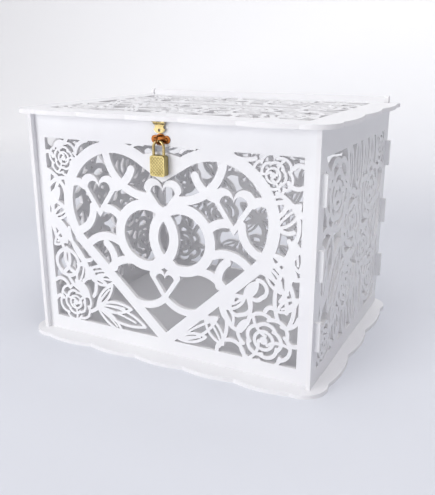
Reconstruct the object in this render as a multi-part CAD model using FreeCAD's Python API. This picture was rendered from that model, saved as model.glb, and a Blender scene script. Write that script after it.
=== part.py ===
import FreeCAD, Part
import math
import os

V = FreeCAD.Vector

# Box sizes
box_width = 300.0            # outer face to outer face of the side panels
box_depth = 234.0            # front edge to rear edge of a side panel
wall_height = 228.0
board = 4.0                  # thickness of every white board
lip = 5.0                    # side panels stand this far past the front and back panels
tab_reach = 5.0              # tabs stand this far out of the side panels
tab_height = 27.0
tab_pitch = wall_height * 0.283
foot_tab = 40.0              # length of the tabs that sit in the base
foot_tab_spread = 0.27       # place of those tabs, as a share of the wall length
lid_gap = 0.3                # air between lid and walls
slot_fit = 0.1               # play of a tab in its slot, each side

# Scalloped outline of base and lid
cusp_overhang = 11.0         # inward cusps stand this far past the walls
scallop_rise = 4.0
front_scallops = 5
side_scallops = 3
front_run = box_width * 0.9  # length of the scallop row along the front
side_run = box_depth * 0.835
corner_round = 0.6            # how far a corner lobe reaches towards its square corner

# Lattice
side_margin = 15.0
foot_margin = 15.0
head_margin = 24.0
strand = 3.8
thin_strand = 2.8
rose_line = 0.135            # thickest strip of a rose, as a share of its radius
rose_share = 0.52            # rose radius, as a share of the trellis pitch
side_strand = 6.0            # vines of the side lattice
side_leaf = 4.4              # leaf outlines of the side lattice
trellis_strand = 5.0         # vines of the back and lid lattice
wide_rose_line = 0.175       # thickest strip of a rose in those lattices
side_sheet_half = 102        # half width of the side lattice's design sheet
side_sheet_height = 189      # height of the side lattice's design sheet
band_width = 11.0            # strip of the big heart
bold = 10.0                  # strokes of the motif inside the heart
least_gap_area = 7.0         # smaller holes are left uncut
least_gap_width = 0.55       # hole area over half its rim, thinner slits are left uncut

# Card slot in the lid
slot_length = 180.0
slot_width = 15.0
slot_border = 8.0

# Rear hinge
bar_height = 6.0
peg_radius = 2.0
peg_play = 0.15
ear_radius = 4.2
ear_play = 0.6               # air round an ear in the lid
bar_play = 0.4               # air between bar end and ear
back_drop = 1.5              # back panel stops this far short of the other walls
bar_tab = 45.0
bar_tab_spread = 0.33

# Hasp on the lid
hasp_width = 12.0
hasp_sheet = 1.0
leaf_depth = 9.0
knuckle_radius = 1.7
pin_radius = 0.8
pin_play = 0.05
knuckle_play = 0.3
strap_drop = 7.5
strap_eye = 1.4
hasp_air = 2.2               # knuckle axis stands this far off the front panel

# Staple on the front panel
staple_sheet = 0.8
staple_spread = 6.0          # screw to middle
staple_lobe = 3.7
staple_height = 0.922        # share of the wall height
loop_wire = 0.9
loop_radius = 3.4            # to the middle of the wire
loop_reach = 3.6
loop_collar = 1.0            # plate left round the feet of the loop

# Screws
screw_shank = 1.0
screw_head = 2.1
screw_head_rise = 1.1
screw_length = 3.2
driver_slot = 0.5

# Padlock
lock_width = 15.0
lock_height = 18.5
lock_core = 5.2              # thickness of the core between the two cover plates
cover_sheet = 0.9
lock_corner = 2.2
hatch_pitch = 2.2
hatch_depth = 0.35
hatch_width = 0.7
hatch_border = 1.0           # plain rim round the grooves
wire_radius = 1.3
leg_half = 5.3               # half the distance between the shackle legs
leg_show = 7.3               # straight leg seen above the case
long_leg_depth = 14.5
short_leg_depth = 5.5
leg_play = 0.15
hang_play = 0.15
pop_travel = 6.0
bolt_travel = 2.0
notch_depth = 0.8
bolt_height = 1.4
bolt_top = 1.0               # below the top of the case
bolt_depth = 2.4
bolt_length = 4.4
bolt_play = 0.15
plug_radius = 2.6
plug_length = 9.0
plug_play = 0.05
cam_radius = 1.4
keyway_width = 0.9
keyway_length = 3.6
rivet_radius = 0.9
rivet_inset = 2.3

# Derived places
floor_top = board
wall_top = floor_top + wall_height
lid_bottom = wall_top + lid_gap
lid_top = lid_bottom + board
half_width = box_width / 2
half_depth = box_depth / 2
inner_half = half_width - board
front_face = -(half_depth - lip)
back_face = half_depth - lip
axis_y = back_face - board / 2
axis_z = lid_top + bar_height / 2
tiny = 0.001


def arc3(start, middle, end):
    return Part.Arc(start, middle, end).toShape()


def line(start, end):
    return Part.makeLine(start, end)


def polar(centre, radius, angle):
    return V(centre.x + radius * math.cos(angle), centre.y + radius * math.sin(angle), 0)


def box(low, high):
    size = high - low
    return Part.makeBox(size.x, size.y, size.z, low)


def rectangle(x0, y0, x1, y1):
    corners = [V(x0, y0, 0), V(x1, y0, 0), V(x1, y1, 0), V(x0, y1, 0), V(x0, y0, 0)]
    return Part.makePolygon(corners)


def disc(centre, radius):
    return Part.Face(Part.Wire(Part.makeCircle(radius, centre)))


def hollow(outer, inner):
    return Part.makeFace(Part.makeCompound([outer, inner]), "Part::FaceMakerBullseye")


def ring(centre, radius, width):
    outer = Part.Wire(Part.makeCircle(radius + width / 2, centre))
    inner = Part.Wire(Part.makeCircle(radius - width / 2, centre))
    return hollow(outer, inner)


# A strip of even width along an arc, with round ends; rise is the height of the arc
def band(start, end, rise, width):
    chord = end - start
    span = chord.Length
    along = chord * (1 / span)
    across = V(-along.y, along.x, 0)
    half = width / 2
    if abs(rise) < span * 0.01:
        edges = [
            line(start + across * half, end + across * half),
            arc3(end + across * half, end + along * half, end - across * half),
            line(end - across * half, start - across * half),
            arc3(start - across * half, start - along * half, start + across * half),
        ]
        return Part.Face(Part.Wire(edges))
    radius = span * span / (8 * abs(rise)) + abs(rise) / 2
    side = 1 if rise > 0 else -1
    centre = (start + end) * 0.5 + across * (rise - side * radius)
    first = math.atan2(start.y - centre.y, start.x - centre.x)
    sweep = 2 * math.atan2(span / 2, radius - abs(rise))
    last = first - side * sweep
    inner = max(radius - half, radius * 0.2)
    mid = (first + last) / 2
    out_arc = arc3(polar(centre, radius + half, first), polar(centre, radius + half, mid),
                   polar(centre, radius + half, last))
    in_arc = arc3(polar(centre, inner, last), polar(centre, inner, mid), polar(centre, inner, first))
    cap = (radius + half - inner) / 2
    ring_middle = inner + cap
    end_point = polar(centre, ring_middle, last)
    start_point = polar(centre, ring_middle, first)
    end_dir = V(math.sin(last), -math.cos(last), 0) * side
    start_dir = V(-math.sin(first), math.cos(first), 0) * side
    end_cap = arc3(polar(centre, radius + half, last), end_point + end_dir * cap, polar(centre, inner, last))
    start_cap = arc3(polar(centre, inner, first), start_point + start_dir * cap,
                     polar(centre, radius + half, first))
    return Part.Face(Part.Wire([out_arc, end_cap, in_arc, start_cap]))


# A leaf: two curved sides and a rib
def leaf(start, end, fullness, width):
    span = (end - start).Length
    sides = [band(start, end, span * fullness, width), band(start, end, -span * fullness, width)]
    rib = band(start, start + (end - start) * 0.8, span * fullness * 0.2, width * 0.8)
    return sides + [rib]


# A rose: rings of overlapping petals round a curl
def rose(centre, radius, turn, width, line_share):
    strips = []
    width = min(width, radius * line_share)
    rows = [(1.0, 6, 0.34), (0.66, 5, 0.32)]
    for share, petals, fullness in rows:
        reach = radius * share * 0.86
        step = 2 * math.pi / petals
        for petal in range(petals):
            first = turn + petal * step
            start = polar(centre, reach, first)
            end = polar(centre, reach * 0.94, first + step * 1.12)
            strips.append(band(start, end, -(end - start).Length * fullness, width))
        turn = turn + step * 0.45
    strips.append(disc(centre, radius * 0.15))
    curl = radius * 0.34
    for quarter in range(2):
        start = polar(centre, curl, turn + quarter * math.pi)
        end = polar(centre, curl, turn + (quarter + 0.9) * math.pi)
        strips.append(band(start, end, -curl * 0.86, width * 0.9))
    for spoke in range(3):
        angle = turn + spoke * 2 * math.pi / 3
        strips.append(band(polar(centre, radius * 0.2, angle), polar(centre, radius * 0.99, angle + 0.75),
                           radius * 0.13, width * 0.85))
    return strips


# A small heart outline standing on its tip
def heart_wire(tip, width, height):
    lobe = width / 4
    top = tip.y + height - lobe
    right = V(tip.x + width / 2, top, 0)
    left = V(tip.x - width / 2, top, 0)
    notch = V(tip.x, top, 0)
    return Part.Wire([
        line(tip, right),
        arc3(right, V(tip.x + lobe, top + lobe, 0), notch),
        arc3(notch, V(tip.x - lobe, top + lobe, 0), left),
        line(left, tip),
    ])


def heart_ring(tip, width, height, strip):
    inset = strip * 2.2
    inner_tip = tip + V(0, strip * 1.25, 0)
    return hollow(heart_wire(tip, width, height), heart_wire(inner_tip, width - inset, height - inset))


# The big heart: two lobes, a notch and straight lower sides
def big_heart(centre_x, lobe_x, lobe_y, radius, notch_y, tip_y):
    high = math.radians(122)
    low = math.radians(-43)
    right = V(centre_x + lobe_x, lobe_y, 0)
    left = V(centre_x - lobe_x, lobe_y, 0)
    mid = (high + low) / 2
    return Part.Wire([
        line(V(centre_x, notch_y, 0), polar(right, radius, high)),
        arc3(polar(right, radius, high), polar(right, radius, mid), polar(right, radius, low)),
        line(polar(right, radius, low), V(centre_x, tip_y, 0)),
        line(V(centre_x, tip_y, 0), polar(left, radius, math.pi - low)),
        arc3(polar(left, radius, math.pi - low), polar(left, radius, math.pi - mid),
             polar(left, radius, math.pi - high)),
        line(polar(left, radius, math.pi - high), V(centre_x, notch_y, 0)),
    ])


# Gaps left between the strips inside a window; loose islands drop out with their gap
def gaps_between(window, strips):
    rest = Part.Face(window).cut(strips)
    islands = []
    for face in rest.Faces:
        islands += [wire.BoundBox for wire in face.Wires if not wire.isSame(face.OuterWire)]
    gaps = []
    for face in rest.Faces:
        rim = face.OuterWire
        if any(island.isInside(rim.BoundBox) for island in islands):
            continue
        area = Part.Face(rim).Area
        if area > least_gap_area and 2 * area / rim.Length > least_gap_width:
            gaps.append(rim)
    return gaps


def plate(outline, holes, thickness):
    face = Part.makeFace(Part.makeCompound([outline] + holes), "Part::FaceMakerBullseye")
    return face.extrude(V(0, 0, thickness))


# Drawing sheet for the front lattice: 270 wide, 190 high, middle of the foot at 0, 0
sheet_width = 270.0
sheet_height = 190.0
window_half = half_width - side_margin
side_half = half_depth - side_margin
window_low = foot_margin
window_high = wall_height - head_margin
scale_x = 2 * window_half / sheet_width
scale_y = (window_high - window_low) / sheet_height


def spot(x, y):
    return V(x * scale_x, window_low + y * scale_y, 0)


def strips_from(rows, width):
    return [band(spot(x0, y0), spot(x1, y1), rise * scale_x, width) for x0, y0, x1, y1, rise in rows]


def front_strips():
    lobe_x = 53 * scale_x
    lobe_y = spot(0, 128).y
    radius = 52 * scale_x
    inner = big_heart(0, lobe_x, lobe_y, radius, spot(0, 157).y, spot(0, 7).y)
    outer = big_heart(0, lobe_x, lobe_y, radius + band_width, spot(0, 157).y + band_width * 2.6,
                      spot(0, 7).y - band_width * 1.4)
    strips = [hollow(outer, inner)]
    # roses in the four corners
    for x, y, size, turn in [(-113, 171, 17, 0.3), (108, 173, 18, 1.2), (-110, 19, 20, 0.8),
                             (103, 21, 26, 0.2)]:
        strips += rose(spot(x, y), size * scale_x, turn, strand, rose_line)
    # bud at the left
    strips.append(ring(spot(-117, 62), 14 * scale_x, strand))
    strips += strips_from([(-117, 78, -124, 50, 6), (-117, 78, -108, 52, -7), (-131, 66, -117, 48, -5)],
                          strand)
    # vines at the left
    strips += strips_from([
        (-135, 140, -106, 150, 5), (-135, 158, -112, 128, 6), (-132, 155, -120, 95, -7),
        (-120, 150, -130, 90, -6), (-135, 112, -110, 88, 4), (-126, 126, -112, 108, 4),
        (-130, 90, -121, 76, 2), (-112, 100, -96, 66, -4), (-118, 92, -92, 62, 3),
        (-104, 62, -84, 52, 4), (-100, 70, -86, 70, -2), (-135, 40, -118, 36, 5),
        (-117, 48, -94, 34, -5), (-88, 60, -86, 30, 5), (-98, 45, -70, 46, 5),
        (-92, 12, -78, 30, -4), (-135, 20, -126, 22, 2), (-135, 176, -126, 172, 2),
        (-122, 183, -108, 190, -2), (-98, 178, -84, 190, 3), (-104, 160, -112, 148, 3)], strand)
    for x0, y0, x1, y1 in [(-110, 122, -132, 108), (-134, 104, -116, 84), (-96, 66, -104, 38),
                           (-94, 52, -66, 62), (-86, 48, -58, 52), (-122, 140, -134, 122),
                           (-112, 98, -132, 80), (-108, 44, -92, 28)]:
        strips += leaf(spot(x0, y0), spot(x1, y1), 0.2, thin_strand)
    # leaf fan at the lower left
    for x1, y1 in [(-62, 46), (-40, 24), (-24, 8), (-52, -3)]:
        strips += leaf(spot(-82, 20), spot(x1, y1), 0.13, thin_strand)
    # vines and curls at the right
    strips += strips_from([
        (135, 140, 112, 150, -5), (112, 158, 126, 112, 13), (126, 112, 104, 92, 5),
        (135, 165, 122, 168, 3), (118, 156, 112, 138, 5), (112, 132, 128, 126, -4),
        (124, 118, 118, 62, 7), (110, 96, 127, 40, 11), (127, 100, 116, 44, -8),
        (135, 112, 124, 70, -5), (100, 86, 124, 52, 8), (135, 48, 120, 38, 4),
        (96, 78, 100, 62, 7), (100, 62, 88, 66, 5), (88, 68, 94, 70, 3),
        (86, 62, 80, 42, 7), (80, 42, 72, 54, 7), (72, 56, 80, 58, 3),
        (86, 62, 80, 26, 6), (104, 50, 112, 54, 2), (135, 22, 126, 24, 2),
        (60, 50, 58, 6, 7), (64, 42, 78, 26, -4), (84, 0, 66, 14, -6), (66, 14, 56, -2, -4),
        (88, 175, 70, 190, 3), (92, 186, 60, 192, 4), (126, 180, 135, 182, 2),
        (98, 160, 108, 152, 3), (135, 85, 122, 90, 3)], strand)
    for x0, y0, x1, y1 in [(112, 128, 133, 150), (128, 118, 134, 92), (104, 92, 118, 70), (84, 60, 62, 46),
                           (108, 104, 132, 84), (134, 66, 116, 52), (96, 76, 84, 60), (72, 30, 60, 54)]:
        strips += leaf(spot(x0, y0), spot(x1, y1), 0.2, thin_strand)
    for x1, y1 in [(56, 34), (44, 12)]:
        strips += leaf(spot(14, 4), spot(x1, y1), 0.14, thin_strand)
    strips += leaf(spot(44, 34), spot(62, 8), 0.2, thin_strand)
    strips += strips_from([(-34, 186, -20, 190, 2), (20, 186, 34, 190, 2), (-70, 187, -52, 191, 2)],
                          thin_strand)
    # two linked rings, hearts and scrolls inside the big heart
    for side in (-1, 1):
        strips.append(ring(spot(side * 19, 104), 30 * scale_x, bold))
        strips.append(heart_ring(spot(side * 72, 116), 42 * scale_x, 42 * scale_y, strand * 1.8))
        strips += strips_from([
            (side * 46, 116, side * 66, 126, side * 3), (side * 90, 146, side * 107, 146, side * 3),
            (side * 80, 126, side * 97, 100, -side * 5), (side * 47, 92, side * 88, 86, side * 8),
            (side * 30, 76, side * 64, 62, side * 6), (side * 14, 142, side * 62, 180, -side * 12),
            (side * 52, 148, side * 34, 166, side * 3),
            (side * 66, 90, side * 58, 66, -side * 4)], bold * 0.8)
    strips.append(heart_ring(spot(0, 122), 40 * scale_x, 38 * scale_y, strand * 1.7))
    strips.append(heart_ring(spot(0, 40), 34 * scale_x, 34 * scale_y, strand * 1.7))
    for side in (-1, 1):
        strips += strips_from([(0, 44, side * 44, 40, -side * 9), (side * 3, 84, side * 13, 66, side * 3)],
                              bold * 0.7)
    return strips


# Place on the side lattice's design sheet, its zero at the lower middle
def side_spot(x, y):
    across = x * side_half / side_sheet_half
    return V(across, window_low + y * (window_high - window_low) / side_sheet_height, 0)


# Side lattice: large roses with long leaves and vines sweeping up towards the back
def side_strips():
    strips = []
    for x, y, size, turn in [(-64, 150, 33, 0.4), (-10, 112, 33, 1.3), (54, 132, 29, 0.2),
                             (-22, 54, 24, 0.9), (36, 78, 24, 0.5), (72, 34, 28, 1.1),
                             (84, 176, 18, 0.1), (-82, 16, 20, 0.7)]:
        radius = size * side_half / side_sheet_half
        strips += rose(side_spot(x, y), radius, turn, side_strand, wide_rose_line)
    for x0, y0, x1, y1 in [(-96, 52, -74, 118), (-76, 46, -46, 104), (-62, 26, -28, 84), (-40, 0, -50, 38),
                           (-14, -2, -20, 32), (14, -2, 6, 50), (36, 0, 30, 56), (60, 66, 80, 108),
                           (84, 62, 98, 126), (-30, 190, -24, 146), (-4, 192, 2, 146), (24, 190, 26, 156),
                           (48, 192, 54, 160), (-100, 112, -92, 60)]:
        strips += leaf(side_spot(x0, y0), side_spot(x1, y1), 0.21, side_leaf)
    for x0, y0, x1, y1, rise in [(-104, 30, -46, 104, 8), (-70, 18, -4, 82, 8), (-56, -2, -34, 34, -6),
                                 (-104, 120, -80, 122, 4), (-40, 100, -36, 138, 6), (-34, 146, -42, 192, -6),
                                 (14, 136, 30, 150, 5), (12, 140, 14, 192, -5), (22, 104, 56, 104, -7),
                                 (0, 30, 12, 62, -5), (46, 56, 60, 52, 4), (20, 60, 26, 0, 6),
                                 (56, 104, 84, 118, 6), (78, 118, 104, 140, -6), (76, 150, 104, 148, 5),
                                 (36, 158, 40, 192, -4), (68, 158, 62, 192, -4), (92, 58, 104, 78, 4),
                                 (48, 22, 44, -2, 4), (96, 20, 104, 6, 3), (-64, 8, -54, -2, 3),
                                 (-84, 170, -104, 188, 3), (-104, 150, -94, 152, 3), (56, 0, 62, 12, 2)]:
        strips.append(band(side_spot(x0, y0), side_spot(x1, y1), rise, side_strand))
    return strips


# All-over trellis: roses and leaf sprays take turns, vines tie the roses together
def trellis(x0, y0, x1, y1, columns, rows, keep_clear):
    pitch_x = (x1 - x0) / columns
    pitch_y = (y1 - y0) / rows
    size = min(pitch_x, pitch_y) * rose_share
    strips = []
    for row in range(rows):
        for column in range(columns):
            centre = V(x0 + (column + 0.5) * pitch_x, y0 + (row + 0.5) * pitch_y, 0)
            turn = 0.7 * row + 1.1 * column
            if (row + column) % 2 == 0:
                strips += rose(centre, size, turn, trellis_strand, wide_rose_line)
                for side in (-1, 1):
                    away = V(side * pitch_x, pitch_y, 0)
                    bow = side * pitch_y * 0.1
                    strips.append(band(centre + away * 0.3, centre + away * 0.72, bow, trellis_strand))
                continue
            for way in range(4):
                angle = turn * 0.2 + 0.3 + way * math.pi / 2
                tip = centre + V(pitch_x * math.cos(angle), pitch_y * math.sin(angle), 0) * 0.56
                strips += leaf(centre, tip, 0.2, thin_strand)
                hook = centre + V(pitch_x * math.cos(angle + 0.9), pitch_y * math.sin(angle + 0.9), 0) * 0.62
                strips.append(band(centre, hook, pitch_y * 0.1, trellis_strand))
    return gaps_between(rectangle(x0, y0, x1, y1), strips + keep_clear)


# Scalloped outline, drawn round the middle
def scallop_outline():
    edge_x = half_width + cusp_overhang
    edge_y = half_depth + cusp_overhang
    edges = []
    runs = [(front_run, front_scallops, edge_y, side_run, edge_x),
            (side_run, side_scallops, edge_x, front_run, edge_y)]
    for quarter in range(4):
        run, count, edge, next_run, next_edge = runs[quarter % 2]
        spin = FreeCAD.Rotation(V(0, 0, 1), 90 * quarter)
        step = run / count
        for number in range(count):
            left = -run / 2 + number * step
            ends = [V(left, -edge, 0), V(left + step / 2, -edge - scallop_rise, 0), V(left + step, -edge, 0)]
            edges.append(arc3(*[spin.multVec(point) for point in ends]))
        start = V(run / 2, -edge, 0)
        end = V(next_edge, -next_run / 2, 0)
        reach = V(next_edge, -edge, 0)
        lobe = (start + end) * 0.5 + (reach - (start + end) * 0.5) * corner_round
        edges.append(arc3(*[spin.multVec(point) for point in (start, lobe, end)]))
    return Part.Wire(edges)


tab_places = [floor_top + wall_height / 2 + step * tab_pitch for step in (-1, 0, 1)]


# Outline of the front or back panel in its own plane, tabs at both sides and feet below
def cross_panel_outline(top):
    reach = half_width + tab_reach
    body = Part.Face(rectangle(-inner_half, 0, inner_half, top))
    pieces = []
    for place in tab_places:
        low = place - floor_top - tab_height / 2
        pieces.append(Part.Face(rectangle(-reach, low, reach, low + tab_height)))
    for side in (-1, 1):
        middle = side * box_width * foot_tab_spread
        pieces.append(Part.Face(rectangle(middle - foot_tab / 2, -board, middle + foot_tab / 2, board)))
    return body.fuse(pieces).removeSplitter().Faces[0].OuterWire


def stand_up(shape, face_y):
    shape.rotate(V(0, 0, 0), V(1, 0, 0), 90)
    shape.translate(V(0, face_y + board, floor_top))
    return shape


front_gaps = gaps_between(rectangle(-window_half, window_low, window_half, window_high), front_strips())
front_panel = stand_up(plate(cross_panel_outline(wall_height), front_gaps, board), front_face)

back_gaps = trellis(-window_half, window_low, window_half, window_high, 5, 4, [])
back_sheet = plate(cross_panel_outline(wall_height - back_drop), back_gaps, board)
back_panel = stand_up(back_sheet, back_face - board)


# Side panel with the hinge ear, slots for the tabs and feet below
def side_panel_outline():
    body = Part.Face(rectangle(-half_depth, 0, half_depth, wall_height))
    ear_low = wall_height - board
    ear_middle = V(axis_y, axis_z - floor_top, 0)
    ear = Part.Face(rectangle(axis_y - ear_radius, ear_low, axis_y + ear_radius, ear_middle.y))
    pieces = [ear, disc(ear_middle, ear_radius)]
    for side in (-1, 1):
        middle = side * box_depth * foot_tab_spread
        pieces.append(Part.Face(rectangle(middle - foot_tab / 2, -board, middle + foot_tab / 2, board)))
    return body.fuse(pieces).removeSplitter().Faces[0].OuterWire


side_gaps = gaps_between(rectangle(-side_half, window_low, side_half, window_high), side_strips())
side_holes = [Part.Wire(Part.makeCircle(peg_radius + peg_play, V(axis_y, axis_z - floor_top, 0)))]
for place in tab_places:
    low = place - floor_top - tab_height / 2 - slot_fit
    high = low + tab_height + 2 * slot_fit
    side_holes.append(rectangle(front_face - slot_fit, low, front_face + board + slot_fit, high))
    side_holes.append(rectangle(back_face - board - slot_fit, low, back_face + slot_fit, high))
side_plate = plate(side_panel_outline(), side_gaps + side_holes, board)


def stand_sideways(shape, inner_x):
    shape.rotate(V(0, 0, 0), V(1, 1, 1), 120)
    shape.translate(V(inner_x, 0, floor_top))
    return shape


right_panel = stand_sideways(side_plate.copy(), inner_half)
left_panel = stand_sideways(side_plate.copy(), -half_width)

# Base plate with slots for the feet of the walls
base_slots = []
for side in (-1, 1):
    middle = side * box_width * foot_tab_spread
    reach = foot_tab / 2 + slot_fit
    for low in (front_face, back_face - board):
        base_slots.append(rectangle(middle - reach, low - slot_fit, middle + reach, low + board + slot_fit))
    middle = side * box_depth * foot_tab_spread
    for wall in (-half_width, inner_half):
        base_slots.append(rectangle(wall - slot_fit, middle - reach, wall + board + slot_fit, middle + reach))
base_plate = plate(scallop_outline(), base_slots, board)

# Lid plate: cut back behind the hinge bar, notched for the ears, slotted for cards
lid_face = Part.Face(scallop_outline())
far = box_depth
lid_cuts = [Part.Face(rectangle(-half_width - ear_play, axis_y + board / 2, half_width + ear_play, far))]
ear_front = axis_y - ear_radius - ear_play
for side in (-1, 1):
    near_x = side * (inner_half - ear_play)
    far_x = side * (half_width + ear_play)
    lid_cuts.append(Part.Face(rectangle(min(near_x, far_x), ear_front, max(near_x, far_x), far)))
bar_half = inner_half - bar_play
bar_tab_places = [step * bar_tab_spread * 2 * bar_half for step in (-1, 0, 1)]
for place in bar_tab_places:
    reach = bar_tab / 2 + slot_fit
    lid_cuts.append(Part.Face(rectangle(place - reach, axis_y - board / 2 - slot_fit, place + reach, far)))
lid_outline = lid_face.cut(lid_cuts).Faces[0].OuterWire
card_slot = rectangle(-slot_length / 2, -slot_width / 2, slot_length / 2, slot_width / 2)
slot_frame = Part.Face(rectangle(-slot_length / 2 - slot_border, -slot_width / 2 - slot_border,
                                 slot_length / 2 + slot_border, slot_width / 2 + slot_border))
lid_front = -(half_depth - side_margin)
lid_rear = axis_y - ear_radius - side_margin
lid_gaps = trellis(-window_half, lid_front, window_half, lid_rear, 5, 4, [slot_frame])
lid_plate = plate(lid_outline, lid_gaps + [card_slot], board)
lid_plate.translate(V(0, 0, lid_bottom))

# Hinge bar: upright strip on the lid, feet in the lid, a round peg at each end
bar_front = axis_y - board / 2
bar_back = axis_y + board / 2
hinge_bar = box(V(-bar_half, bar_front, lid_top), V(bar_half, bar_back, lid_top + bar_height))
for place in bar_tab_places:
    hinge_bar = hinge_bar.fuse(box(V(place - bar_tab / 2, bar_front, lid_bottom),
                                   V(place + bar_tab / 2, bar_back, lid_top)))
for side in (-1, 1):
    peg = Part.makeCylinder(peg_radius, board + bar_play, V(side * bar_half, axis_y, axis_z), V(side, 0, 0))
    hinge_bar = hinge_bar.fuse(peg)
hinge_bar = hinge_bar.removeSplitter()


# Screw with a round slotted head; the tip points along the given direction
def screw(seat, direction):
    head = Part.makeSphere(screw_head, V(0, 0, 0))
    head.translate(V(0, 0, screw_head_rise - screw_head))
    head = head.common(Part.makeCylinder(screw_head, screw_head_rise))
    shank = Part.makeCylinder(screw_shank, screw_length, V(0, 0, 0), V(0, 0, -1))
    slot = box(V(-screw_head, -driver_slot / 2, screw_head_rise / 2),
               V(screw_head, driver_slot / 2, screw_head))
    piece = head.fuse(shank).cut(slot).removeSplitter()
    piece.Placement = FreeCAD.Placement(seat, FreeCAD.Rotation(V(0, 0, -1), direction))
    return piece


def screw_hole(seat, direction, depth):
    return Part.makeCylinder(screw_shank, depth, seat, direction)


# Hasp: leaf under the lid, pin, strap hanging in front of the front panel
knuckle_y = front_face - hasp_air
knuckle_z = lid_bottom - hasp_sheet - knuckle_radius - knuckle_play
third = hasp_width / 3
leaf_plate = box(V(-hasp_width / 2, knuckle_y - leaf_depth, lid_bottom - hasp_sheet),
                 V(hasp_width / 2, knuckle_y, lid_bottom))
hasp_leaf = leaf_plate
hasp_strap = Part.makeCylinder(knuckle_radius, third - 2 * knuckle_play,
                               V(-third / 2 + knuckle_play, knuckle_y, knuckle_z), V(1, 0, 0))
for side in (-1, 1):
    low_x = third / 2 if side > 0 else -hasp_width / 2
    knuckle = Part.makeCylinder(knuckle_radius, third, V(low_x, knuckle_y, knuckle_z), V(1, 0, 0))
    stem = box(V(low_x, knuckle_y - knuckle_radius, knuckle_z),
               V(low_x + third, knuckle_y - knuckle_radius + hasp_sheet, lid_bottom - hasp_sheet / 2))
    hasp_leaf = hasp_leaf.fuse([knuckle, stem])
leaf_relief = box(V(-third / 2 - tiny, knuckle_y - knuckle_radius - knuckle_play, lid_bottom - hasp_sheet),
                  V(third / 2 + tiny, knuckle_y, lid_bottom - hasp_sheet / 2))
hasp_leaf = hasp_leaf.cut(leaf_relief)
strap_top = knuckle_z - knuckle_radius - knuckle_play
strap_front = knuckle_y - hasp_sheet / 2
strap_back = strap_front + hasp_sheet
strap_half = hasp_width / 2
waist = strap_half * 0.72
lobe_low = strap_top - strap_drop
strap_face = Part.Face(Part.Wire([
    line(V(-strap_half, strap_top, 0), V(strap_half, strap_top, 0)),
    arc3(V(strap_half, strap_top, 0), V(waist, strap_top - strap_drop * 0.28, 0),
         V(strap_half, strap_top - strap_drop * 0.5, 0)),
    arc3(V(strap_half, strap_top - strap_drop * 0.5, 0), V(0, lobe_low, 0),
         V(-strap_half, strap_top - strap_drop * 0.5, 0)),
    arc3(V(-strap_half, strap_top - strap_drop * 0.5, 0), V(-waist, strap_top - strap_drop * 0.28, 0),
         V(-strap_half, strap_top, 0)),
]))
strap_hole = disc(V(0, lobe_low + strap_eye * 2, 0), strap_eye)
strap_sheet = strap_face.cut(strap_hole).extrude(V(0, 0, hasp_sheet))
strap_sheet.rotate(V(0, 0, 0), V(1, 0, 0), 90)
strap_sheet.translate(V(0, strap_back, 0))
strap_neck = box(V(-third / 2 + knuckle_play, strap_front, strap_top - tiny),
                 V(third / 2 - knuckle_play, strap_back, knuckle_z))
hasp_strap = hasp_strap.fuse([strap_sheet, strap_neck])
pin_end = V(-hasp_width / 2, knuckle_y, knuckle_z)
pin_hole = Part.makeCylinder(pin_radius, hasp_width, pin_end, V(1, 0, 0))
wide_hole = Part.makeCylinder(pin_radius + pin_play, hasp_width, pin_end, V(1, 0, 0))
hasp_leaf = hasp_leaf.cut(pin_hole).removeSplitter()
hasp_strap = hasp_strap.cut(wide_hole).removeSplitter()
hasp_pin = pin_hole
hasp_seats = []
for side in (-1, 1):
    hasp_seats.append(V(side * hasp_width * 0.28, knuckle_y - leaf_depth * 0.62, lid_bottom - hasp_sheet))
up = V(0, 0, 1)
for seat in hasp_seats:
    hole = screw_hole(seat, up, screw_length)
    hasp_leaf = hasp_leaf.cut(hole)
    lid_plate = lid_plate.cut(hole)
hasp_screws = Part.makeCompound([screw(seat, up) for seat in hasp_seats])

# Staple: lobed plate, wire loop and screws
staple_z = floor_top + wall_height * staple_height
staple_front = front_face - staple_sheet
staple_face = Part.Face(rectangle(-staple_spread, staple_z - staple_lobe * 0.8, staple_spread,
                                  staple_z + staple_lobe * 0.8))
staple_pieces = [disc(V(side * staple_spread, staple_z, 0), staple_lobe) for side in (-1, 1)]
staple_pieces.append(disc(V(0, staple_z, 0), loop_radius + loop_wire + loop_collar))
staple_plate = staple_face.fuse(staple_pieces).removeSplitter().extrude(V(0, 0, staple_sheet))
staple_plate.rotate(V(0, 0, 0), V(1, 0, 0), 90)
staple_plate.translate(V(0, front_face, 0))
loop_y = staple_front - loop_reach
loop_path = Part.Wire([
    line(V(0, front_face, staple_z + loop_radius), V(0, loop_y, staple_z + loop_radius)),
    arc3(V(0, loop_y, staple_z + loop_radius), V(0, loop_y - loop_radius, staple_z),
         V(0, loop_y, staple_z - loop_radius)),
    line(V(0, loop_y, staple_z - loop_radius), V(0, front_face, staple_z - loop_radius)),
])
loop_start = Part.makeCircle(loop_wire, V(0, front_face, staple_z + loop_radius), V(0, 1, 0))
staple_loop = loop_path.makePipe(Part.Face(Part.Wire(loop_start)))
for side in (-1, 1):
    leg_end = V(0, loop_y, staple_z + side * loop_radius)
    leg = Part.makeCylinder(loop_wire, front_face - loop_y, leg_end, V(0, 1, 0))
    staple_plate = staple_plate.cut(leg)
inward = V(0, 1, 0)
staple_seats = [V(side * staple_spread, staple_front, staple_z) for side in (-1, 1)]
for seat in staple_seats:
    hole = screw_hole(seat, inward, screw_length)
    staple_plate = staple_plate.cut(hole)
    front_panel = front_panel.cut(hole)
staple_screws = Part.makeCompound([screw(seat, inward) for seat in staple_seats])

# Padlock, hung on the loop
hang_y = loop_y
hang_z = staple_z - loop_radius + loop_wire + wire_radius + hang_play
case_top = hang_z - leg_half - leg_show
case_low = case_top - lock_height
core_front = hang_y - lock_core / 2
core_back = hang_y + lock_core / 2


def upright_cylinder(radius, x, low, high):
    return Part.makeCylinder(radius, high - low, V(x, hang_y, low))


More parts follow.
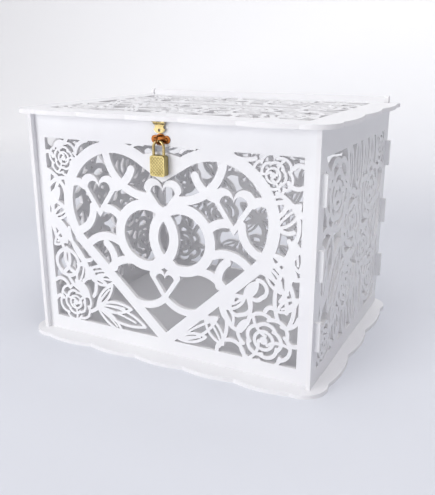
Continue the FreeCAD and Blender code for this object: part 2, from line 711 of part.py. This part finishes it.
# Shackle: bent wire, long leg at the left, notched short leg at the right
arch_z = hang_z - leg_half
shackle_path = Part.Wire([
    line(V(-leg_half, hang_y, case_top - long_leg_depth), V(-leg_half, hang_y, arch_z)),
    arc3(V(-leg_half, hang_y, arch_z), V(0, hang_y, hang_z), V(leg_half, hang_y, arch_z)),
    line(V(leg_half, hang_y, arch_z), V(leg_half, hang_y, case_top - short_leg_depth)),
])
shackle_start = Part.makeCircle(wire_radius, V(-leg_half, hang_y, case_top - long_leg_depth))
lock_shackle = shackle_path.makePipe(Part.Face(Part.Wire(shackle_start)))
notch_face = leg_half - wire_radius
notch_high = case_top - bolt_top + bolt_play
notch_low = case_top - bolt_top - bolt_height - 2 * bolt_play
ramp = notch_depth * pop_travel / bolt_travel
notch_points = [V(notch_face - 1, 0, notch_high), V(notch_face + notch_depth, 0, notch_high),
                V(notch_face + notch_depth, 0, notch_low), V(notch_face, 0, notch_low - ramp),
                V(notch_face - 1, 0, notch_low - ramp), V(notch_face - 1, 0, notch_high)]
notch = Part.Face(Part.makePolygon(notch_points)).extrude(V(0, 4 * wire_radius, 0))
notch.translate(V(0, hang_y - 2 * wire_radius, 0))
lock_shackle = lock_shackle.cut(notch)

# Core of the case with its bores
core_outline = box(V(-lock_width / 2, core_front, case_low), V(lock_width / 2, core_back, case_top))
upright_edges = [edge for edge in core_outline.Edges if abs(edge.tangentAt(edge.FirstParameter).y) > 0.9]
rounded_core = core_outline.makeFillet(lock_corner, upright_edges)
bore = wire_radius + leg_play
plug_low = case_low
plug_high = case_low + plug_length
cam_high = case_top - bolt_top - bolt_height - bolt_play
bolt_right = notch_face + notch_depth - bolt_play
bolt_left = bolt_right - bolt_length
bolt_low = case_top - bolt_top - bolt_height
room = box(V(bolt_left - bolt_travel - bolt_play, hang_y - bolt_depth / 2 - bolt_play, bolt_low - bolt_play),
           V(leg_half, hang_y + bolt_depth / 2 + bolt_play, bolt_low + bolt_height + bolt_play))
lock_core_solid = rounded_core.cut([
    upright_cylinder(bore, -leg_half, case_top - long_leg_depth - leg_play, case_top),
    upright_cylinder(bore, leg_half, case_top - short_leg_depth - leg_play, case_top),
    upright_cylinder(plug_radius + plug_play, 0, plug_low, plug_high + plug_play),
    upright_cylinder(cam_radius + plug_play, 0, plug_high, cam_high),
    room,
])
lock_bolt = box(V(bolt_left, hang_y - bolt_depth / 2, bolt_low),
                V(bolt_right, hang_y + bolt_depth / 2, bolt_low + bolt_height))
lock_plug = upright_cylinder(plug_radius, 0, plug_low, plug_high)
lock_plug = lock_plug.fuse(upright_cylinder(cam_radius, 0, plug_high, cam_high - plug_play)).removeSplitter()
keyway = box(V(-keyway_width / 2, hang_y - keyway_length / 2, plug_low),
             V(keyway_width / 2, hang_y + keyway_length / 2, plug_low + plug_length * 0.8))
lock_plug = lock_plug.cut(keyway)


# Cover plate with crossed grooves on its outer face
def cover(inner_y, outer_y):
    low_y = min(inner_y, outer_y)
    sheet = box(V(-lock_width / 2, low_y, case_low), V(lock_width / 2, low_y + cover_sheet, case_top))
    edges = [edge for edge in sheet.Edges if abs(edge.tangentAt(edge.FirstParameter).y) > 0.9]
    sheet = sheet.makeFillet(lock_corner, edges)
    middle = V(0, outer_y, (case_low + case_top) / 2)
    reach = (lock_width + lock_height) / 2
    count = int(reach / hatch_pitch)
    field = box(V(-lock_width / 2 + hatch_border, outer_y - cover_sheet, case_low + hatch_border),
                V(lock_width / 2 - hatch_border, outer_y + cover_sheet, case_top - hatch_border))
    grooves = []
    for way in (-45, 45):
        for number in range(-count, count + 1):
            groove = box(V(number * hatch_pitch - hatch_width / 2, -hatch_depth, -reach),
                         V(number * hatch_pitch + hatch_width / 2, hatch_depth, reach))
            groove.rotate(V(0, 0, 0), V(0, 1, 0), way)
            groove.translate(middle)
            grooves.append(groove.common(field))
    return sheet.cut([groove for groove in grooves if groove.Solids])


lock_front_plate = cover(core_front, core_front - cover_sheet)
lock_back_plate = cover(core_back, core_back + cover_sheet)
rivets = []
for side_x in (-1, 1):
    seat = V(side_x * (lock_width / 2 - rivet_inset), core_front - cover_sheet, case_low + rivet_inset)
    shank = Part.makeCylinder(rivet_radius, lock_core + 2 * cover_sheet, seat, V(0, 1, 0))
    lock_core_solid = lock_core_solid.cut(shank)
    lock_front_plate = lock_front_plate.cut(shank)
    lock_back_plate = lock_back_plate.cut(shank)
    rivets.append(shank)
lock_rivets = Part.makeCompound(rivets)

nodes = {
    "base_plate": base_plate,
    "front_panel": front_panel,
    "back_panel": back_panel,
    "left_panel": left_panel,
    "right_panel": right_panel,
    "lid_plate": lid_plate,
    "hinge_bar": hinge_bar,
    "hasp_leaf": hasp_leaf,
    "hasp_pin": hasp_pin,
    "hasp_strap": hasp_strap,
    "hasp_screws": hasp_screws,
    "staple_plate": staple_plate,
    "staple_loop": staple_loop,
    "staple_screws": staple_screws,
    "lock_case": lock_core_solid,
    "lock_front_plate": lock_front_plate,
    "lock_back_plate": lock_back_plate,
    "lock_rivets": lock_rivets,
    "lock_shackle": lock_shackle,
    "lock_bolt": lock_bolt,
    "lock_plug": lock_plug,
}
os.makedirs("parts", exist_ok=True)
for name, shape in nodes.items():
    shape.exportStep("parts/" + name + ".step")
    print(name, len(shape.Solids), shape.isValid(), round(shape.Volume, 1))
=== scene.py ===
import math
import bpy
from mathutils import Matrix, Vector

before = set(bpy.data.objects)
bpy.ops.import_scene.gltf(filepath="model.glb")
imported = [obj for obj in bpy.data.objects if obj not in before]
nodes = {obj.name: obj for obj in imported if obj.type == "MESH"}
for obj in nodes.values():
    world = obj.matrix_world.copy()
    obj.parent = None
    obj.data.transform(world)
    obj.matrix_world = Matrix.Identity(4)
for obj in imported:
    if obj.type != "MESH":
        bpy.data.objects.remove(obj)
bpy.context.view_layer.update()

print("stage: frame loaded")

mixFirst, mixSecond, mixResult = 6, 7, 2  # places of the colour sockets on a Mix node


def newGroup(name, inputs, outputs):
    group = bpy.data.node_groups.new(name, "ShaderNodeTree")
    for label, kind in inputs:
        group.interface.new_socket(name=label, in_out="INPUT", socket_type=kind)
    for label, kind in outputs:
        group.interface.new_socket(name=label, in_out="OUTPUT", socket_type=kind)
    start = group.nodes.new("NodeGroupInput")
    end = group.nodes.new("NodeGroupOutput")
    return group, start, end


def addNode(tree, kind, **values):
    node = tree.nodes.new(kind)
    for key, value in values.items():
        setattr(node, key, value)
    return node


def noise(tree, coords, scale, detail):
    node = addNode(tree, "ShaderNodeTexNoise")
    node.inputs["Scale"].default_value = scale
    node.inputs["Detail"].default_value = detail
    tree.links.new(coords, node.inputs["Vector"])
    return node.outputs["Fac"]


def ramp(tree, value, limits):
    node = addNode(tree, "ShaderNodeMapRange")
    node.inputs["From Min"].default_value = limits[0]
    node.inputs["From Max"].default_value = limits[1]
    tree.links.new(value, node.inputs["Value"])
    return node.outputs["Result"]


def mixColour(tree, factor, first, second):
    node = addNode(tree, "ShaderNodeMix", data_type="RGBA")
    tree.links.new(factor, node.inputs["Factor"])
    for place, source in ((mixFirst, first), (mixSecond, second)):
        if isinstance(source, tuple):
            node.inputs[place].default_value = source
        else:
            tree.links.new(source, node.inputs[place])
    return node.outputs[mixResult]


def maths(tree, operation, first, second):
    node = addNode(tree, "ShaderNodeMath", operation=operation)
    for socket, source in zip(node.inputs, (first, second)):
        if isinstance(source, (int, float)):
            socket.default_value = source
        else:
            tree.links.new(source, socket)
    return node.outputs[0]


# base plus share times value
def raised(tree, base, value, share):
    return maths(tree, "ADD", maths(tree, "MULTIPLY", value, share), base)


# what both finish groups put out
finishOutputs = [
    ("Colour", "NodeSocketColor"),
    ("Roughness", "NodeSocketFloat"),
    ("Height", "NodeSocketFloat"),
]


def newMaterial(name, group, bumpStrength, bumpDistance):
    material = bpy.data.materials.new(name)
    material.use_nodes = True
    tree = material.node_tree
    shader = tree.nodes["Principled BSDF"]
    finish = addNode(tree, "ShaderNodeGroup", node_tree=group)
    bump = addNode(tree, "ShaderNodeBump")
    bump.inputs["Strength"].default_value = bumpStrength
    bump.inputs["Distance"].default_value = bumpDistance
    tree.links.new(finish.outputs["Colour"], shader.inputs["Base Color"])
    tree.links.new(finish.outputs["Roughness"], shader.inputs["Roughness"])
    tree.links.new(finish.outputs["Height"], bump.inputs["Height"])
    tree.links.new(bump.outputs["Normal"], shader.inputs["Normal"])
    return material, finish, shader


# board: white board of all the flat panels, scales are per metre
board = {
    "face": (0.845, 0.845, 0.855, 1),
    "cloud": (0.805, 0.80, 0.82, 1),
    "cloudScale": 9.0,
    "cloudDetail": 4.0,
    "cloudLimits": (0.35, 0.7),
    "cutEdge": (0.83, 0.82, 0.83, 1),
    "edgeLimits": (0.8, 0.4),  # how far a face turns away before it counts as a cut edge
    "grainScale": 1400.0,
    "grainDetail": 2.0,
    "roughness": 0.46,
    "edgeRoughness": 0.2,  # added on cut edges
    "grainRoughness": 0.08,
    "bump": 0.12,
    "bumpDistance": 0.0002,
}


# clouded white face, duller laser-cut edges, fine grain
def boardFinish():
    group, start, end = newGroup("boardFinish", [("Axis", "NodeSocketVector")], finishOutputs)
    coords = addNode(group, "ShaderNodeTexCoord")
    dot = addNode(group, "ShaderNodeVectorMath", operation="DOT_PRODUCT")
    group.links.new(coords.outputs["Normal"], dot.inputs[0])
    group.links.new(start.outputs["Axis"], dot.inputs[1])
    facing = maths(group, "ABSOLUTE", dot.outputs["Value"], 0.0)
    edgeMask = ramp(group, facing, board["edgeLimits"])
    clouds = noise(group, coords.outputs["Object"], board["cloudScale"], board["cloudDetail"])
    cloud = ramp(group, clouds, board["cloudLimits"])
    grain = noise(group, coords.outputs["Object"], board["grainScale"], board["grainDetail"])
    face = mixColour(group, cloud, board["face"], board["cloud"])
    colour = mixColour(group, edgeMask, face, board["cutEdge"])
    rough = raised(group, board["roughness"], edgeMask, board["edgeRoughness"])
    rough = raised(group, rough, grain, board["grainRoughness"])
    group.links.new(colour, end.inputs["Colour"])
    group.links.new(rough, end.inputs["Roughness"])
    group.links.new(grain, end.inputs["Height"])
    return group


boardGroup = boardFinish()


# axis is the direction that the panel's broad faces look in
def boardMaterial(name, axis):
    material, finish, shader = newMaterial(name, boardGroup, board["bump"], board["bumpDistance"])
    finish.inputs["Axis"].default_value = axis
    return material


frontBoard = boardMaterial("frontBoard", (0, 1, 0))
sideBoard = boardMaterial("sideBoard", (1, 0, 0))
plateBoard = boardMaterial("plateBoard", (0, 0, 1))

# metal: finishes of the hardware, each a bright colour, a tarnished colour and a roughness
metal = {
    "hasp": ((0.47, 0.38, 0.19, 1), (0.36, 0.27, 0.10, 1), 0.38),
    "staple": ((0.25, 0.090, 0.025, 1), (0.08, 0.025, 0.006, 1), 0.26),
    "lock": ((0.47, 0.39, 0.178, 1), (0.32, 0.255, 0.10, 1), 0.40),
    "wire": ((0.50, 0.39, 0.18, 1), (0.20, 0.14, 0.045, 1), 0.22),
    "steel": ((0.60, 0.60, 0.62, 1), (0.40, 0.40, 0.42, 1), 0.32),
    "tarnishScale": 160.0,
    "tarnishDetail": 5.0,
    "tarnishLimits": (0.42, 0.95),
    "tarnishRoughness": 0.12,
    "scratchScale": 900.0,
    "scratchDetail": 3.0,
    "scratchStretch": (1.0, 1.0, 6.0),
    "scratchRoughness": 0.12,
    # painted shade: near-black for the floors of the padlock's grooves, standing in for the shade that
    # falls in them
    "paintedGrooveShadeColour": (0.02, 0.015, 0.005, 1),
    "paintedGrooveShade": 0.36,  # painted shade: how far the floor of the padlock's grooves is darkened
    "paintedGrooveShadeDepths": (0.00006, 0.00022),  # depth in metres over which it sets in
    "bump": 0.15,
    "bumpDistance": 0.0001,
}


# tarnish in clouds, hairline scratches, and painted shade pulled towards the groove colour by the shade
# input
def metalFinish():
    inputs = [
        ("Bright", "NodeSocketColor"),
        ("Dark", "NodeSocketColor"),
        ("Base", "NodeSocketFloat"),
        ("Painted Shade", "NodeSocketFloat"),
    ]
    group, start, end = newGroup("metalFinish", inputs, finishOutputs)
    coords = addNode(group, "ShaderNodeTexCoord")
    stretch = addNode(group, "ShaderNodeMapping")
    stretch.inputs["Scale"].default_value = metal["scratchStretch"]
    group.links.new(coords.outputs["Object"], stretch.inputs["Vector"])
    clouds = noise(group, coords.outputs["Object"], metal["tarnishScale"], metal["tarnishDetail"])
    tarnish = ramp(group, clouds, metal["tarnishLimits"])
    scratch = noise(group, stretch.outputs["Vector"], metal["scratchScale"], metal["scratchDetail"])
    worn = mixColour(group, tarnish, start.outputs["Bright"], start.outputs["Dark"])
    # painted shade: the shade input pulls the colour towards near-black
    colour = mixColour(group, start.outputs["Painted Shade"], worn, metal["paintedGrooveShadeColour"])
    rough = raised(group, start.outputs["Base"], scratch, metal["scratchRoughness"])
    rough = raised(group, rough, tarnish, metal["tarnishRoughness"])
    group.links.new(colour, end.inputs["Colour"])
    group.links.new(rough, end.inputs["Roughness"])
    group.links.new(scratch, end.inputs["Height"])
    return group


metalGroup = metalFinish()


def metalMaterial(name, look):
    material, finish, shader = newMaterial(name, metalGroup, metal["bump"], metal["bumpDistance"])
    bright, dark, roughness = look
    finish.inputs["Bright"].default_value = bright
    finish.inputs["Dark"].default_value = dark
    finish.inputs["Base"].default_value = roughness
    shader.inputs["Metallic"].default_value = 1.0
    return material


# cover plates: the floor of each groove lies deeper than the outer face and gets painted shade
def paintedGrooveShadeMaterial(name, look, node, outward):
    material = metalMaterial(name, look)
    tree = material.node_tree
    finish = next(item for item in tree.nodes if item.type == "GROUP")
    face = max(outward * vertex.co.y for vertex in node.data.vertices)
    coords = addNode(tree, "ShaderNodeTexCoord")
    parts = addNode(tree, "ShaderNodeSeparateXYZ")
    tree.links.new(coords.outputs["Object"], parts.inputs["Vector"])
    depth = maths(tree, "SUBTRACT", face, maths(tree, "MULTIPLY", parts.outputs["Y"], outward))
    # painted shade: darker the deeper a point lies below the outer face
    paintedShadeMask = ramp(tree, depth, metal["paintedGrooveShadeDepths"])
    tree.links.new(maths(tree, "MULTIPLY", paintedShadeMask, metal["paintedGrooveShade"]), finish.inputs["Painted Shade"])
    return material


haspGilt = metalMaterial("haspGilt", metal["hasp"])
stapleGilt = metalMaterial("stapleGilt", metal["staple"])
lockGilt = metalMaterial("lockGilt", metal["lock"])
lockFrontGilt = paintedGrooveShadeMaterial("lockFrontGilt", metal["lock"], nodes["lock_front_plate"], -1)
lockBackGilt = paintedGrooveShadeMaterial("lockBackGilt", metal["lock"], nodes["lock_back_plate"], 1)
wireGilt = metalMaterial("wireGilt", metal["wire"])
innerSteel = metalMaterial("innerSteel", metal["steel"])
print("stage: materials made")

finishes = {
    "front_panel": frontBoard,
    "back_panel": frontBoard,
    "hinge_bar": frontBoard,
    "left_panel": sideBoard,
    "right_panel": sideBoard,
    "base_plate": plateBoard,
    "lid_plate": plateBoard,
    "hasp_leaf": haspGilt,
    "hasp_strap": haspGilt,
    "hasp_screws": haspGilt,
    "hasp_pin": innerSteel,
    "staple_plate": stapleGilt,
    "staple_loop": stapleGilt,
    "staple_screws": stapleGilt,
    "lock_case": lockGilt,
    "lock_front_plate": lockFrontGilt,
    "lock_back_plate": lockBackGilt,
    "lock_rivets": lockGilt,
    "lock_plug": lockGilt,
    "lock_shackle": wireGilt,
    "lock_bolt": innerSteel,
}
for name, material in finishes.items():
    nodes[name].data.materials.clear()
    nodes[name].data.materials.append(material)
bpy.ops.object.select_all(action="DESELECT")
print("stage: finishes on")

# studio: paper sweep, world and soft lights, in metres and watts
studio = {
    "paper": (0.72, 0.735, 0.785, 1),
    "paperCloud": (0.71, 0.725, 0.77, 1),
    "paperCloudScale": 3.0,
    "paperCloudDetail": 3.0,
    "paperFar": (0.93, 0.93, 0.94, 1),
    "paperFarLimits": (0.5, 1.7),  # distance from the box over which the paper pales
    "paperGlow": 0.17,  # added to the far paper where it is seen or mirrored
    "paperRoughness": 0.7,
    "paperSpecular": 0.2,
    "sweepSize": 6.0,
    "sweepRear": 1.8,
    "sweepHeight": 4.0,
    "sweepBend": 0.9,
    "sweepBendSteps": 16,
    "world": (0.95, 0.94, 1.0, 1),
    "worldStrength": 0.37,
    "worldGlow": 0.45,  # added where the world itself is seen or mirrored
    "lights": {  # place, aim, size, power
        "key": ((-1.1, -2.05, 0.42), (0, 0, 0.13), 1.4, 33.0),
        "overhead": ((0.35, -0.55, 2.1), (0.15, 0, 0), 1.7, 25.0),
        "rear": ((0, 1.0, 2.6), (0, 1.8, 1.2), 1.0, 6.0),
    },
}
nearEnough = 1e-4  # metres, for picking vertices by their place


# backdrop light that only the camera and reflections see
def seenRays(tree):
    rays = addNode(tree, "ShaderNodeLightPath").outputs
    seen = maths(tree, "ADD", rays["Is Camera Ray"], rays["Is Glossy Ray"])
    return maths(tree, "ADD", seen, rays["Is Transmission Ray"])


def sweepPaper():
    material = bpy.data.materials.new("sweepPaper")
    material.use_nodes = True
    tree = material.node_tree
    shader = tree.nodes["Principled BSDF"]
    coords = addNode(tree, "ShaderNodeTexCoord")
    distance = addNode(tree, "ShaderNodeVectorMath", operation="LENGTH")
    tree.links.new(coords.outputs["Object"], distance.inputs[0])
    clouds = noise(tree, coords.outputs["Object"], studio["paperCloudScale"], studio["paperCloudDetail"])
    near = mixColour(tree, clouds, studio["paper"], studio["paperCloud"])
    far = ramp(tree, distance.outputs["Value"], studio["paperFarLimits"])
    tree.links.new(mixColour(tree, far, near, studio["paperFar"]), shader.inputs["Base Color"])
    farGlow = maths(tree, "MULTIPLY", far, studio["paperGlow"])
    glow = maths(tree, "MULTIPLY", farGlow, seenRays(tree))
    shader.inputs["Emission Color"].default_value = studio["paperFar"]
    tree.links.new(glow, shader.inputs["Emission Strength"])
    shader.inputs["Roughness"].default_value = studio["paperRoughness"]
    shader.inputs["Specular IOR Level"].default_value = studio["paperSpecular"]
    return material


# leaves only those edges selected whose two ends pass the test, and stays in edit mode
def pickEdges(thing, test):
    bpy.ops.mesh.select_all(action="DESELECT")
    bpy.ops.object.mode_set(mode="OBJECT")
    points = thing.data.vertices
    for edge in thing.data.edges:
        edge.select = all(test(points[end].co) for end in edge.vertices)
    bpy.ops.object.mode_set(mode="EDIT")


def atRear(point):
    return abs(point.y - studio["sweepRear"]) < nearEnough


def atBend(point):
    return atRear(point) and abs(point.z) < nearEnough


# sweep: one plane, its rear edge drawn up behind a rounded bend
sweepMiddle = studio["sweepRear"] - studio["sweepSize"] / 2
bpy.ops.mesh.primitive_plane_add(size=studio["sweepSize"], location=(0, sweepMiddle, 0))
sweep = bpy.context.object
sweep.name = "sweep"
bpy.ops.object.transform_apply(location=True)
bpy.ops.object.mode_set(mode="EDIT")
bpy.ops.mesh.select_mode(type="EDGE")
pickEdges(sweep, atRear)
bpy.ops.mesh.extrude_region_move(TRANSFORM_OT_translate={"value": (0, 0, studio["sweepHeight"])})
pickEdges(sweep, atBend)
bpy.ops.mesh.bevel(offset=studio["sweepBend"], segments=studio["sweepBendSteps"], affect="EDGES")
bpy.ops.mesh.select_all(action="SELECT")
bpy.ops.mesh.normals_make_consistent(inside=False)
bpy.ops.object.mode_set(mode="OBJECT")
bpy.ops.object.shade_smooth()
sweep.data.materials.append(sweepPaper())

world = bpy.data.worlds.new("studio")
bpy.context.scene.world = world
world.use_nodes = True
worldTree = world.node_tree
sky = worldTree.nodes["Background"]
sky.inputs["Color"].default_value = studio["world"]
skyStrength = raised(worldTree, studio["worldStrength"], seenRays(worldTree), studio["worldGlow"])
worldTree.links.new(skyStrength, sky.inputs["Strength"])

for name, (place, aim, size, power) in studio["lights"].items():
    bpy.ops.object.light_add(type="AREA", location=place)
    light = bpy.context.object
    light.name = name
    light.data.size = size
    light.data.energy = power
    light.rotation_euler = (Vector(aim) - Vector(place)).to_track_quat("-Z", "Y").to_euler()

# camera: place in metres, angles in degrees, lens and sensor in millimetres
cameraLook = {
    "place": (0.3025, -0.5942, 0.2907),
    "azimuth": 27.03,
    "elevation": 17.36,
    "roll": 0.03,
    "lens": 52.44,
    "sensor": 36.0,
    "nearest": 0.01,
}


def turned(degrees, axis):
    return Matrix.Rotation(math.radians(degrees), 4, axis)


bpy.ops.object.camera_add()
camera = bpy.context.object
camera.data.sensor_fit = "HORIZONTAL"
camera.data.sensor_width = cameraLook["sensor"]
camera.data.lens = cameraLook["lens"]
camera.data.clip_start = cameraLook["nearest"]
turn = turned(cameraLook["azimuth"], "Z") @ turned(90 - cameraLook["elevation"], "X")
turn = turn @ turned(cameraLook["roll"], "Z")
camera.matrix_world = Matrix.Translation(cameraLook["place"]) @ turn
bpy.context.scene.camera = camera
bpy.context.scene.view_settings.view_transform = "Standard"
print("stage: studio set")
